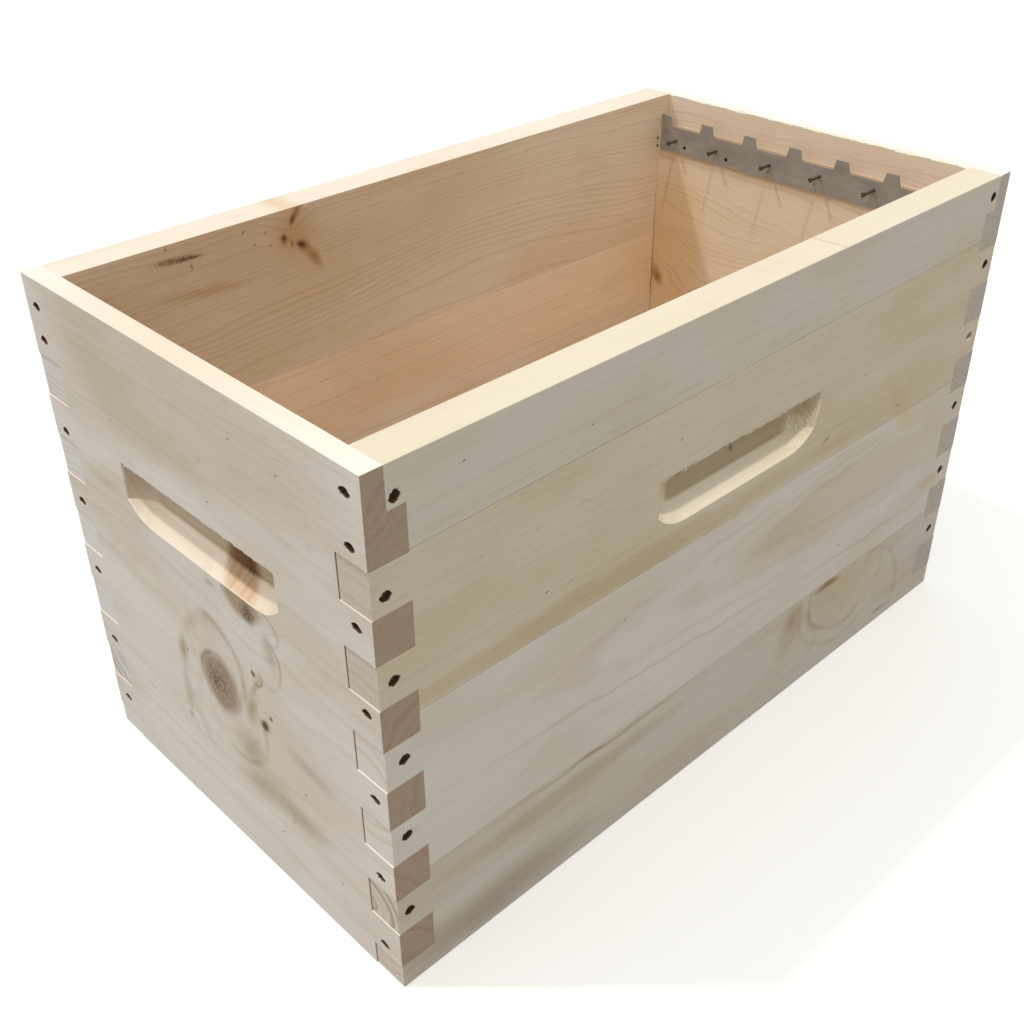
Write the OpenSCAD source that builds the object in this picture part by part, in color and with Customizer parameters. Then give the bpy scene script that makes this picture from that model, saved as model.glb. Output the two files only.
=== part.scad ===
// Nuc box: a small open hive body of finger-jointed softwood with a castellated
// metal frame rest at each end. Millimetres, +Z up, origin under the middle of the box.
// The front end is at -X, the back end at +X, the right side at -Y, the left side at +Y.

/* [Body] */
// Outside length of the box, along the frames
body_l = 508; // [470:1:560]
// Outside width of the box, across the frames
body_w = 285; // [220:1:420]
// Height of the box
body_h = 312.5; // [240:0.5:360]
// Thickness of the wall boards
wall_t = 22; // [19:0.5:25]

/* [Finger joints] */
// Height of the tall finger at the top of an end board
top_finger_h = 46.5; // [40:0.5:60]
// Height of every other finger
finger_h = 25; // [18:0.5:36]
// Least height of the finger that is left over at the bottom
least_finger_h = 8; // [5:0.5:12]
// How far the ends of a side's fingers stay behind the face of the end board
finger_recess = 0.5; // [0:0.1:1]

/* [Frame rebate] */
// Thickness of the lip outside the rebate in an end board
lip_t = 12; // [9:0.5:14]
// Depth of the rebate below the rim
rebate_h = 22; // [17:0.5:28]

/* [Handholds] */
// Width of a handhold on the face of the board
handhold_w = 138; // [110:1:150]
// Rim to the ceiling of the handhold
handhold_drop = 84.5; // [65:0.5:110]
// Ceiling of the handhold to its lower edge
handhold_h = 32.5; // [26:0.5:40]
// Depth of the handhold into the board
handhold_d = 11; // [7:0.5:14]
// Height of the sloped floor of the handhold
handhold_slope_h = 10; // [6:0.5:18]
// How far the middle of that floor is hollowed below a straight slope
handhold_hollow = 1.2; // [0:0.1:1.4]
// Length of each curved end of the handhold, where the cutter runs in and out
handhold_runout = 24; // [16:1:34]

/* [Staves] */
// Middle of the box to the end-to-end joint in the top stave of the right side
end_joint_x = 80; // [20:1:140]
// Length of the fingers of that end-to-end joint
end_joint_l = 10; // [6:0.5:16]
// Distance from one of those fingers to the next
end_joint_pitch = 6; // [4:0.5:9]
// Width of the blunt tips of those fingers
end_joint_tip = 1; // [0.6:0.1:1.6]

/* [Frame rests] */
// Thickness of the metal strip
strip_t = 0.8; // [0.6:0.1:1.5]
// Height of the strip, with its teeth
strip_h = 25.4; // [22:0.1:32]
// Gap between an end of the strip and the side of the box
strip_gap = 2.5; // [1:0.1:4]
// Distance from one frame to the next
frame_pitch = 38; // [34:0.5:42]
// Height of the resting edge above the ledge of the rebate
rest_rise = 2.5; // [1:0.1:4]
// Height of a tooth above the resting edge
tooth_h = 7.2; // [5:0.1:9]
// Width of a tooth at its tip
tooth_tip_w = 9; // [6:0.1:11]
// Width of a tooth at its root
tooth_root_w = 12.9; // [11.5:0.1:16]
// Diameter of the punched hole below each frame
strip_hole_d = 2.8; // [2:0.1:4]

/* [Nails] */
// Length of a corner nail
nail_l = 50; // [40:1:65]
// Length of the slanted nail in a tongue
tongue_nail_l = 34; // [28:1:38]
// Lean of the slanted nail towards the end of the box, in degrees
tongue_nail_angle = 20; // [15:1:25]
// Diameter of the shank of a corner nail
nail_d = 2.5; // [2:0.1:3]
// Diameter of the head of a corner nail
nail_head_d = 4.4; // [3.4:0.1:4.8]
// Thickness of the head of a corner nail
nail_head_t = 1.2; // [0.8:0.1:2]
// Depth of the top of the head below the face of the board
nail_sink = 2.6; // [1:0.1:4]
// Diameter of the hole that the sunk head leaves
nail_hole_d = 5; // [4.9:0.1:6]
// Distance between the two nails that cross in the top of a corner
nail_cross = 4.2; // [3.6:0.1:6]
// Length of a nail in a frame rest
strip_nail_l = 25; // [20:1:28]
// Diameter of the shank of a nail in a frame rest
strip_nail_d = 2.2; // [1.8:0.1:2.6]
// Diameter of the head of a nail in a frame rest
strip_nail_head_d = 3.2; // [2.8:0.1:4]
// Thickness of the head of a nail in a frame rest
strip_nail_head_t = 0.9; // [0.6:0.1:1.4]
// How far the nails in a frame rest stand proud of the strip
strip_nail_proud = 10.5; // [8:0.1:12]

/* [Hidden] */

// How far a cut runs past the surface that it opens
overrun = 1;
// Gap all round a nail in its hole
nail_clearance = 0.05;
// Facets of small and large round cuts
round_fn = 32;
cutter_fn = 96;
floor_steps = 4;

// Half sizes and inside sizes of the box
half_l = body_l / 2;
half_w = body_w / 2;
inner_l = body_l - 2 * wall_t;
inner_w = body_w - 2 * wall_t;
rebate_w = wall_t - lip_t;
ledge_z = body_h - rebate_h;

// Fingers are numbered from the rim down: even ones belong to the end boards, odd ones to the sides
full_fingers = floor((body_h - top_finger_h - least_finger_h) / finger_h);
last_finger = full_fingers + 1;
function finger_top(k) = k == 0 ? body_h : body_h - top_finger_h - (k - 1) * finger_h;
function finger_bottom(k) = k == last_finger ? 0 : finger_top(k + 1);

// Glue lines between staves, as shares of the height below the rim at the front and the back end
rim_shares = [0, 0];
floor_shares = [1, 1];
right_glue_shares = [[0.146, 0.126], [0.430, 0.441], [0.761, 0.769]];
left_glue_shares = [[0.320, 0.331], [0.489, 0.500]];

// The handhold is cut by a round cutter on an upright axis, moved along the board
cutter_r = (pow(handhold_runout, 2) + pow(handhold_d, 2)) / (2 * handhold_d);
cutter_axis = cutter_r - handhold_d;
cutter_travel = handhold_w - 2 * handhold_runout;
slope_run = handhold_d / handhold_slope_h;

// Hollow floor of the handhold, from its back wall to its lower edge, as a line on the cutter
function floor_point(share) = [
    cutter_axis + handhold_d * share,
    handhold_slope_h * share - handhold_hollow * (1 - pow(2 * share - 1, 2)) - handhold_h
];
floor_line = [for (i = [0:floor_steps]) floor_point(1 - i / floor_steps)];

// Frame rest: heights, length and number of frames
strip_l = inner_w - 2 * strip_gap;
rest_z = ledge_z + rest_rise;
strip_top_z = rest_z + tooth_h;
strip_bottom_z = strip_top_z - strip_h;
frame_count = floor((strip_l - tooth_tip_w / 2) / frame_pitch);
strip_hole_share = 0.2;
strip_nail_share = 0.38;

// Drift of each nail of a frame rest: along the strip as a share of the pitch, down as a share
// of the strip's height, and in its proud length as a share of that length
strip_nail_shares = [
    [-0.13, 0.06, -0.05], [-0.18, 0.09, 0.20], [-0.08, 0.07, 0.09],
    [0.01, 0.00, 0.00], [0.24, -0.02, -0.14], [0.22, -0.04, -0.10]
];

// Places of the corner nails: drift down as a share of the finger's height, and drift away
// from the corner as a share of the wall, one pair for each finger and then over again
end_nail_shares = [[-0.12, 0.02], [-0.20, -0.05], [-0.06, -0.07], [0.14, 0.01], [0.26, 0.10]];
far_end_nail_shares = [[0.28, 0.05], [0.11, 0.06], [0.08, 0.04], [0.17, 0.07], [0.06, 0.10]];
side_nail_shares = [[0.14, -0.12], [0.00, -0.08], [-0.05, 0.03], [-0.10, -0.05], [-0.01, -0.14]];
far_side_nail_shares = [[-0.03, -0.09], [-0.04, -0.02], [0.02, -0.02], [0.04, 0.06], [0.06, -0.03]];
low_top_nail_share = 0.84;
far_low_top_nail_share = 0.77;
cross_share = 0.66;
tongue_nail_share = 0.42;
// Length of a nail's point and width of its tip, as shares of the shank's diameter
nail_point_share = 1.4;
nail_tip_share = 0.2;

// Colours of the wood and the metal
end_wood = "#cdc2b4";
side_wood = "#c9bda4";
side_wood_warm = "#c4b497";
strip_metal = "#7f786c";
nail_metal = "#5d564d";

// One finger of a board, as a flat shape: full width, from its bottom to its top
module finger(width, k) {
    translate([-width / 2, finger_bottom(k)])
        square([width, finger_top(k) - finger_bottom(k)]);
}

// Outline of an end board, seen along X
module end_outline() {
    translate([-inner_w / 2, 0])
        square([inner_w, body_h]);
    for (k = [0:2:last_finger])
        finger(body_w, k);
}

// Outline of a side, seen along Y: the board, its fingers and the tongues that close the rebates
module side_outline() {
    translate([-inner_l / 2, 0])
        square([inner_l, body_h]);
    for (k = [1:2:last_finger])
        finger(body_l - 2 * finger_recess, k);
    translate([-half_l + lip_t, ledge_z])
        square([body_l - 2 * lip_t, rebate_h]);
}

// Height of a glue line at the front and at the back end
function glue_z(shares) = [for (s = shares) body_h * (1 - s)];

// Flat shape of the band between two glue lines
module stave_band(upper, lower) {
    up = glue_z(upper);
    low = glue_z(lower);
    polygon([[-half_l, low[0]], [half_l, low[1]], [half_l, up[1]], [-half_l, up[0]]]);
}

// Zigzag line of the end-to-end joint, from the rim down past the first glue line
end_joint_turns = ceil(body_h * max(right_glue_shares[0]) / end_joint_pitch);
function end_joint_turn(z) = [
    [end_joint_x - end_joint_l / 2, z],
    [end_joint_x - end_joint_l / 2, z - end_joint_tip],
    [end_joint_x + end_joint_l / 2, z - end_joint_pitch / 2],
    [end_joint_x + end_joint_l / 2, z - end_joint_pitch / 2 - end_joint_tip]
];
end_joint_line = [
    for (i = [0:end_joint_turns])
        each end_joint_turn(body_h - i * end_joint_pitch)
];
end_joint_low = body_h - (end_joint_turns + 1) * end_joint_pitch;

// Flat shape of everything on one side of that joint, towards the given end of the box
module end_joint_half(end_x) {
    polygon(concat([[end_x, body_h]], end_joint_line, [[end_x, end_joint_low]]));
}

// Round cutter in the handhold's place: the face of the board is the plane y = 0, its wood at y > 0
module cutter_profile() {
    polygon(concat(
        [[0, 0], [cutter_r, 0]],
        floor_line,
        [[cutter_axis - overrun * slope_run, -handhold_h - overrun], [0, -handhold_h - overrun]]
    ));
}

module handhold_cut() {
    translate([0, -cutter_axis, body_h - handhold_drop]) {
        translate([-cutter_travel / 2, 0, 0])
            rotate([90, 0, 90])
                linear_extrude(cutter_travel)
                    cutter_profile();
        for (x = [-cutter_travel / 2, cutter_travel / 2])
            translate([x, 0, 0])
                rotate_extrude($fn = cutter_fn)
                    cutter_profile();
    }
}

// A nail with its head's top at the origin, driven along +Y
module nail(length, shank_d, head_d, head_t) {
    point_l = shank_d * nail_point_share;
    rotate([-90, 0, 0]) {
        cylinder(h = head_t, d = head_d, $fn = round_fn);
        cylinder(h = length - point_l, d = shank_d, $fn = round_fn);
        translate([0, 0, length - point_l])
            cylinder(h = point_l, d1 = shank_d, d2 = shank_d * nail_tip_share, $fn = round_fn);
    }
}

// Hole of a corner nail: the sunk head's hole from the face down to the head's seat, then the shank's
module nail_hole(length) {
    rotate([-90, 0, 0]) {
        translate([0, 0, -nail_sink - overrun])
            cylinder(h = nail_sink + nail_head_t + overrun, d = nail_hole_d, $fn = round_fn);
        cylinder(h = length + nail_clearance, d = nail_d + 2 * nail_clearance, $fn = round_fn);
    }
}

// Places of the nails at one corner, where end_sign and side_sign say which corner it is.
// The two nails that cross near the rim pass one above the other.
function is_far(end_sign, side_sign) = end_sign * side_sign < 0;
function cross_z(end_sign, side_sign, up) =
    body_h - rebate_h * cross_share + up * end_sign * side_sign * nail_cross / 2;
function finger_mid(k) = (finger_top(k) + finger_bottom(k)) / 2;
function finger_size(k) = finger_top(k) - finger_bottom(k);

// Each place is [distance from the corner, height] on the face of the board
function end_nail_places(end_sign, side_sign) =
    let (far = is_far(end_sign, side_sign))
    let (shares = far ? far_end_nail_shares : end_nail_shares)
    let (low_share = far ? far_low_top_nail_share : low_top_nail_share)
    concat(
        [[wall_t / 2, cross_z(end_sign, side_sign, 1)]],
        [[wall_t / 2, body_h - top_finger_h * low_share]],
        [for (k = [2:2:full_fingers])
            let (drift = shares[(k / 2 - 1) % len(shares)])
            [wall_t / 2 + wall_t * drift[1], finger_mid(k) - finger_size(k) * drift[0]]]
    );

function side_nail_places(end_sign, side_sign) =
    let (shares = is_far(end_sign, side_sign) ? far_side_nail_shares : side_nail_shares)
    [for (k = [1:2:full_fingers])
        let (drift = shares[(k - 1) / 2 % len(shares)])
        [wall_t / 2 + wall_t * drift[1], finger_mid(k) - finger_size(k) * drift[0]]];

// Puts a nail, or its hole, at each place in the end board of a corner, driven along X
module at_end_nails(end_sign, side_sign) {
    for (place = end_nail_places(end_sign, side_sign))
        translate([end_sign * (half_l - nail_sink), side_sign * (half_w - place[0]), place[1]])
            rotate([0, 0, end_sign * 90])
                children();
}

// Puts a nail, or its hole, at each place in the side fingers of a corner, driven along Y
module at_side_nails(end_sign, side_sign) {
    for (place = side_nail_places(end_sign, side_sign))
        translate([end_sign * (half_l - place[0]), side_sign * (half_w - nail_sink), place[1]])
            rotate([0, 0, side_sign > 0 ? 180 : 0])
                children();
}

// Puts a nail, or its hole, in the tongue of a corner, leaning towards the end board's lip
module at_tongue_nail(end_sign, side_sign) {
    inset = lip_t + rebate_w * tongue_nail_share;
    lean = end_sign * side_sign * tongue_nail_angle;
    translate([end_sign * (half_l - inset), side_sign * (half_w - nail_sink),
               cross_z(end_sign, side_sign, -1)])
        rotate([0, 0, (side_sign > 0 ? 180 : 0) + lean])
            children();
}

// Every nail hole of one corner
module corner_holes(end_sign, side_sign) {
    at_end_nails(end_sign, side_sign)
        nail_hole(nail_l);
    at_side_nails(end_sign, side_sign)
        nail_hole(nail_l);
    at_tongue_nail(end_sign, side_sign)
        nail_hole(tongue_nail_l);
}

// Puts a nail, or its hole, at each place in the back frame rest; its origin is on the strip's face
module at_strip_nails() {
    for (i = [0:frame_count - 1]) {
        drift = strip_nail_shares[i % len(strip_nail_shares)];
        $proud = strip_nail_proud * (1 + drift[2]);
        translate([inner_l / 2 - strip_t,
                   (i - (frame_count - 1) / 2 + drift[0]) * frame_pitch,
                   strip_bottom_z + strip_h * (strip_nail_share + drift[1])])
            rotate([0, 0, -90])
                children();
    }
}

module strip_nail_hole() {
    rotate([-90, 0, 0])
        translate([0, 0, -overrun])
            cylinder(h = strip_nail_l - $proud + nail_clearance + overrun,
                     d = strip_nail_d + 2 * nail_clearance, $fn = round_fn);
}

// Outline of a frame rest, seen along X: a band with a tooth on each side of every frame
module strip_outline() {
    intersection() {
        translate([-strip_l / 2, strip_bottom_z])
            square([strip_l, strip_h]);
        union() {
            translate([-strip_l / 2, strip_bottom_z])
                square([strip_l, rest_z - strip_bottom_z]);
            for (i = [0:frame_count])
                translate([(i - frame_count / 2) * frame_pitch, rest_z])
                    polygon([[-tooth_root_w / 2, 0], [tooth_root_w / 2, 0],
                             [tooth_tip_w / 2, tooth_h], [-tooth_tip_w / 2, tooth_h]]);
        }
    }
}

// The back end's frame rest with its punched holes; the front one is turned half round
module frame_rest() {
    color(strip_metal)
        difference() {
            translate([inner_l / 2 - strip_t, 0, 0])
                rotate([90, 0, 90])
                    linear_extrude(strip_t)
                        difference() {
                            strip_outline();
                            for (i = [0:frame_count - 1])
                                translate([(i - (frame_count - 1) / 2) * frame_pitch,
                                           strip_bottom_z + strip_h * strip_hole_share])
                                    circle(d = strip_hole_d, $fn = round_fn);
                        }
            at_strip_nails()
                strip_nail_hole();
        }
}

module frame_rest_nails() {
    color(nail_metal)
        at_strip_nails()
            translate([0, -$proud, 0])
                nail(strip_nail_l, strip_nail_d, strip_nail_head_d, strip_nail_head_t);
}

// An end board at the back: fingers, rebate, handhold and nail holes
module end_board(end_sign) {
    difference() {
        translate([inner_l / 2, 0, 0])
            rotate([90, 0, 90])
                linear_extrude(wall_t)
                    end_outline();
        translate([inner_l / 2 - overrun, -half_w - overrun, ledge_z])
            cube([rebate_w + overrun, body_w + 2 * overrun, rebate_h + overrun]);
        translate([half_l, 0, 0])
            rotate([0, 0, 90])
                handhold_cut();
        at_strip_nails()
            strip_nail_hole();
        for (side_sign = [-1, 1])
            rotate([0, 0, end_sign > 0 ? 0 : 180])
                corner_holes(end_sign, side_sign);
    }
}

module back_end_board() {
    color(end_wood)
        end_board(1);
}

module front_end_board() {
    color(end_wood)
        rotate([0, 0, 180])
            end_board(-1);
}

// A stave of a side: the flat shape given as a child, cut by the handhold and the nail holes
module stave(side_sign) {
    difference() {
        translate([0, side_sign > 0 ? half_w : wall_t - half_w, 0])
            rotate([90, 0, 0])
                linear_extrude(wall_t)
                    intersection() {
                        side_outline();
                        children();
                    }
        translate([0, side_sign * half_w, 0])
            rotate([0, 0, side_sign > 0 ? 180 : 0])
                handhold_cut();
        for (end_sign = [-1, 1])
            corner_holes(end_sign, side_sign);
    }
}

module right_top_stave_front() {
    color(side_wood)
        stave(-1)
            intersection() {
                stave_band(rim_shares, right_glue_shares[0]);
                end_joint_half(-half_l);
            }
}

module right_top_stave_back() {
    color(side_wood)
        stave(-1)
            intersection() {
                stave_band(rim_shares, right_glue_shares[0]);
                end_joint_half(half_l);
            }
}

module right_upper_stave() {
    color(side_wood_warm)
        stave(-1)
            stave_band(right_glue_shares[0], right_glue_shares[1]);
}

module right_lower_stave() {
    color(side_wood)
        stave(-1)
            stave_band(right_glue_shares[1], right_glue_shares[2]);
}

module right_bottom_stave() {
    color(side_wood_warm)
        stave(-1)
            stave_band(right_glue_shares[2], floor_shares);
}

module left_top_stave() {
    color(side_wood)
        stave(1)
            stave_band(rim_shares, left_glue_shares[0]);
}

module left_middle_stave() {
    color(side_wood_warm)
        stave(1)
            stave_band(left_glue_shares[0], left_glue_shares[1]);
}

module left_bottom_stave() {
    color(side_wood)
        stave(1)
            stave_band(left_glue_shares[1], floor_shares);
}

// The nails of one corner that go through the end board, and those that go through the side
module end_nails(end_sign, side_sign) {
    color(nail_metal)
        at_end_nails(end_sign, side_sign)
            nail(nail_l, nail_d, nail_head_d, nail_head_t);
}

module side_nails(end_sign, side_sign) {
    color(nail_metal) {
        at_side_nails(end_sign, side_sign)
            nail(nail_l, nail_d, nail_head_d, nail_head_t);
        at_tongue_nail(end_sign, side_sign)
            nail(tongue_nail_l, nail_d, nail_head_d, nail_head_t);
    }
}

front_end_board();
back_end_board();
right_top_stave_front();
right_top_stave_back();
right_upper_stave();
right_lower_stave();
right_bottom_stave();
left_top_stave();
left_middle_stave();
left_bottom_stave();
rotate([0, 0, 180]) frame_rest();  // front_frame_rest
frame_rest();  // back_frame_rest
rotate([0, 0, 180]) frame_rest_nails();  // front_frame_rest_nails
frame_rest_nails();  // back_frame_rest_nails
end_nails(-1, -1);  // front_right_end_nails
end_nails(-1, 1);  // front_left_end_nails
end_nails(1, -1);  // back_right_end_nails
end_nails(1, 1);  // back_left_end_nails
side_nails(-1, -1);  // front_right_side_nails
side_nails(-1, 1);  // front_left_side_nails
side_nails(1, -1);  // back_right_side_nails
side_nails(1, 1);  // back_left_side_nails
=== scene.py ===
# %% [markdown]
# # A nuc box in bare pine
#
# The object is a small open hive body: two end boards and two edge-glued sides, joined by nailed
# fingers at the corners, with a scooped handhold in every wall and a toothed metal strip at each
# end on which frames hang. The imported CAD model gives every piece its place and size, in metres.
# This script keeps those places and adds what the eye sees: eased and torn edges, pine with its
# own rings and knots in each board, dull zinc, dark nails, light and a camera.

import math
import random

import bmesh
import bpy
from mathutils import Matrix, Vector, noise


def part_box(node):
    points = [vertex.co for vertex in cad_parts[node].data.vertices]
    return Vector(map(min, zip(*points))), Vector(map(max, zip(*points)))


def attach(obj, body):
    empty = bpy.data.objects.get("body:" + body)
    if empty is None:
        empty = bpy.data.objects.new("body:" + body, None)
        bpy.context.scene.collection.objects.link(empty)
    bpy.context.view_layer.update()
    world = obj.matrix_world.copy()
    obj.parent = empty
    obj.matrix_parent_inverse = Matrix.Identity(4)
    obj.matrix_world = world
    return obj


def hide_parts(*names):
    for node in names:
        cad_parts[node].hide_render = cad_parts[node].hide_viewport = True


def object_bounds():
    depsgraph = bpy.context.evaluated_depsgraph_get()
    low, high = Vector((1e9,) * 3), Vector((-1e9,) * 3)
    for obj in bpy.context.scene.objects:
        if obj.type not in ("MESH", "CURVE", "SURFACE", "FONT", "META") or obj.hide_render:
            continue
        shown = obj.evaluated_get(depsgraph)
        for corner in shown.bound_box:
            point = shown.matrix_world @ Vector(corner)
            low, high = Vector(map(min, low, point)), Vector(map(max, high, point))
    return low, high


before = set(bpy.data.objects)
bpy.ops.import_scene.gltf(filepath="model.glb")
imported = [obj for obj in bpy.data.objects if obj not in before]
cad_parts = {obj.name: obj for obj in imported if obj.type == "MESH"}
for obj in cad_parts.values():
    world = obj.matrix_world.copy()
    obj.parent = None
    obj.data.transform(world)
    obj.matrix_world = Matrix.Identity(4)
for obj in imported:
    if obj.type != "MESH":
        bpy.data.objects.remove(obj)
cad_low, cad_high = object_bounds()
print("CAD box in metres:", [round(v, 4) for v in cad_high - cad_low])

# %% [markdown]
# ## Camera
#
# The camera stands where it stood for the photograph: off the near corner, a little above the rim.
# Its place, its line of sight and a half degree of roll were solved from the six visible corners of
# the box. A line of sight and a roll are easier to read than three Euler angles, so the script turns
# them into a rotation itself. It comes first, so that every later step can be looked at.

# %% Camera at the photograph's viewpoint
camera_place = Vector((-0.49523, -0.48150, 0.56658))
line_of_sight = Vector((0.57540, 0.60535, -0.54997))
camera_roll = math.radians(-0.58)
focal_pixels = 1260.37
image_pixels = 1024

lens = bpy.data.cameras.new("camera")
lens.sensor_width = 36.0
lens.lens = focal_pixels / image_pixels * lens.sensor_width
lens.clip_start = 0.01
lens.clip_end = 50.0
camera = bpy.data.objects.new("camera", lens)
bpy.context.scene.collection.objects.link(camera)
aim = line_of_sight.to_track_quat("-Z", "Y").to_matrix() @ Matrix.Rotation(camera_roll, 3, "Z")
camera.matrix_world = Matrix.Translation(camera_place) @ aim.to_4x4()
bpy.context.scene.camera = camera
print("lens in mm:", round(lens.lens, 2))

# %% [markdown]
# ## Tools for finishes
#
# Every finish below is a node tree made in code. A few short helpers keep that readable: one adds a
# node and fills its sockets, one does arithmetic, one makes a soft step, one mixes two colours. The
# colours are written as the usual hex values of a screen and turned into the linear values that
# Blender's sockets expect.

# %% Helpers for node trees
def fill(tree, node, sockets):
    """Fills a node's sockets. Each entry is an output to link or a plain value to set."""
    for key, value in sockets.items():
        if isinstance(value, bpy.types.NodeSocket):
            tree.links.new(value, node.inputs[key])
        else:
            node.inputs[key].default_value = value


def add(tree, kind, sockets=None, **settings):
    """Adds a node with its settings and sockets."""
    made = tree.nodes.new(kind)
    for key, value in settings.items():
        setattr(made, key, value)
    fill(tree, made, sockets or {})
    return made


def calc(tree, work, first, second=0.0):
    """One step of arithmetic on numbers."""
    return add(tree, "ShaderNodeMath", {0: first, 1: second}, operation=work).outputs[0]


def times(tree, first, second):
    """One number times another."""
    return calc(tree, "MULTIPLY", first, second)


def step(tree, value, low, high, at_low=0.0, at_high=1.0):
    """A soft step: at_low up to low, at_high from high on."""
    sockets = {"Value": value, "From Min": low, "From Max": high, "To Min": at_low, "To Max": at_high}
    return add(tree, "ShaderNodeMapRange", sockets, interpolation_type="SMOOTHSTEP").outputs[0]


def mix(tree, share, first, second, way="MIX"):
    """Mixes two colours, each an output or a plain colour."""
    made = add(tree, "ShaderNodeMix", {0: share, 6: first, 7: second}, data_type="RGBA", blend_type=way)
    return made.outputs[2]


def paint(code):
    """A hex screen colour as a linear colour."""
    parts = [int(code[i:i + 2], 16) / 255 for i in (0, 2, 4)]
    return tuple(c / 12.92 if c <= 0.04045 else ((c + 0.055) / 1.055) ** 2.4 for c in parts) + (1.0,)


print("paint('e9ddc8') is", [round(v, 3) for v in paint("e9ddc8")])


# %% Helpers for patterns
def stretch(tree, place, scale, shift=(0.0, 0.0, 0.0), turn=(0.0, 0.0, 0.0)):
    """Coordinates scaled, turned and shifted."""
    sockets = {"Vector": place, "Location": shift, "Rotation": turn, "Scale": scale}
    return add(tree, "ShaderNodeMapping", sockets).outputs[0]


def grain_noise(tree, place, detail=2.0, rough=0.5):
    """Soft noise at the scale of the coordinates that it is given."""
    sockets = {"Vector": place, "Scale": 1.0, "Detail": detail, "Roughness": rough}
    return add(tree, "ShaderNodeTexNoise", sockets)


def grain(tree, place, scale, shift=(0.0, 0.0, 0.0), detail=2.0, rough=0.5):
    """The value of soft noise, on coordinates that are scaled and shifted first."""
    return grain_noise(tree, stretch(tree, place, scale, shift), detail, rough).outputs["Fac"]


def new_finish(name):
    """An empty material with a Principled shader, its tree and that shader."""
    made = bpy.data.materials.new(name)
    made.use_nodes = True
    tree = made.node_tree
    tree.nodes.clear()
    shader = add(tree, "ShaderNodeBsdfPrincipled")
    add(tree, "ShaderNodeOutputMaterial", {"Surface": shader.outputs[0]})
    return made, tree, shader


def seen_directly(tree):
    """1 for the rays by which the camera sees a thing, also in a reflection or through glass."""
    rays = add(tree, "ShaderNodeLightPath")
    seen = calc(tree, "MAXIMUM", rays.outputs["Is Camera Ray"], rays.outputs["Is Glossy Ray"])
    return calc(tree, "MAXIMUM", seen, rays.outputs["Is Transmission Ray"])


# %% [markdown]
# ## Light, floor and background
#
# The box stands under two ceiling lamps in a pale room. One lamp is almost straight overhead: it
# makes the rim bright and throws the shadow of each handhold's upper edge half way down its sloped
# floor. The other is high beyond the front left corner: it lights the front end, and inside the box
# it draws the slanted shadow of the left rim on the back end. The walls get the rest of their light
# from the room and the floor. Lamps far away are suns in Blender, and the room is the world colour,
# three times brighter overhead than at the horizon, as under a pale ceiling: that is what leaves the
# upright wall at the back of a handhold in shade. Rays that the camera sees, also in a reflection,
# find a plain white room instead.

# %% Lamps and room
def sun(name, towards, strength, width, colour):
    """A far lamp: towards points from the box to the lamp, strength is its light on a facing board."""
    lamp = bpy.data.lights.new(name, "SUN")
    lamp.energy = strength * math.pi
    lamp.angle = math.radians(width)
    lamp.color = colour
    made = bpy.data.objects.new(name, lamp)
    bpy.context.scene.collection.objects.link(made)
    made.rotation_euler = Vector(towards).to_track_quat("Z", "Y").to_euler()


sun("overhead lamp", (-0.20, -0.19, 1.0), 0.41, 3.6, (1.0, 0.96, 0.90))
sun("lamp beyond the front left corner", (-0.45, 0.45, 1.0), 0.28, 2.6, (1.0, 0.97, 0.93))

light_at_horizon = 0.27
light_overhead = 0.88
room = bpy.data.worlds.new("room")
bpy.context.scene.world = room
room.use_nodes = True
air = room.node_tree
air.nodes.clear()
looking = add(air, "ShaderNodeTexCoord").outputs["Generated"]
height = add(air, "ShaderNodeSeparateXYZ", {0: looking}).outputs["Z"]
level = {"Value": height, "To Min": light_at_horizon, "To Max": light_overhead}
strength = add(air, "ShaderNodeMapRange", level).outputs[0]
soft_light = add(air, "ShaderNodeBackground", {"Color": (0.97, 0.99, 1.0, 1.0), "Strength": strength})
backdrop = add(air, "ShaderNodeBackground", {"Color": (1.0, 1.0, 1.0, 1.0)})
shown = {"Fac": seen_directly(air), 1: soft_light.outputs[0], 2: backdrop.outputs[0]}
shown = add(air, "ShaderNodeMixShader", shown)
add(air, "ShaderNodeOutputWorld", {"Surface": shown.outputs[0]})

bpy.context.scene.view_settings.view_transform = "Standard"

# %% [markdown]
# The floor is a plain pale sheet under the box. It isn't part of the object.
# It is white to the camera and greyer to the wood, so that it keeps the shadow without throwing too
# much light up the walls.

# %% Floor
floor_gap = 0.0004


def make_floor():
    """A wide flat sheet just under the box, white to the camera."""
    shape = bmesh.new()
    bmesh.ops.create_grid(shape, x_segments=8, y_segments=8, size=8.0)
    bmesh.ops.translate(shape, verts=shape.verts, vec=(0.0, 0.0, cad_low.z - floor_gap))
    mesh = bpy.data.meshes.new("floor")
    shape.to_mesh(mesh)
    shape.free()
    made = bpy.data.objects.new("floor", mesh)
    bpy.context.scene.collection.objects.link(made)
    finish, tree, shader = new_finish("pale floor")
    colour = mix(tree, seen_directly(tree), paint("979490"), paint("fbfbfa"))
    fill(tree, shader, {"Base Color": colour, "Roughness": 0.9, "Specular IOR Level": 0.1})
    made.data.materials.append(finish)
    return made


floor = make_floor()
print("floor at z", round(floor.data.vertices[0].co.z, 4))

# %% [markdown]
# ## Pine
#
# A board is a slice of a log, so its figure is worked out in three dimensions: each board has a heart,
# the line of the tree's middle, and the rings are shells around it. Where a face lies along a shell
# the rings open into long arches, where it cuts them squarely they run as straight lines, and on the
# ends of the fingers they show as arcs. A knot pushes the shells outwards, so the rings flow round
# it as they do in wood. An image of wood would show the same figure on every face, and the export
# would have to carry it. Stains and resin are soft spots of colour.
#
# Each board works in its own coordinates in millimetres: across as seen from outside, inwards from
# the middle of the box, and up. So a knot is placed as it would be measured on the board.

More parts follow.
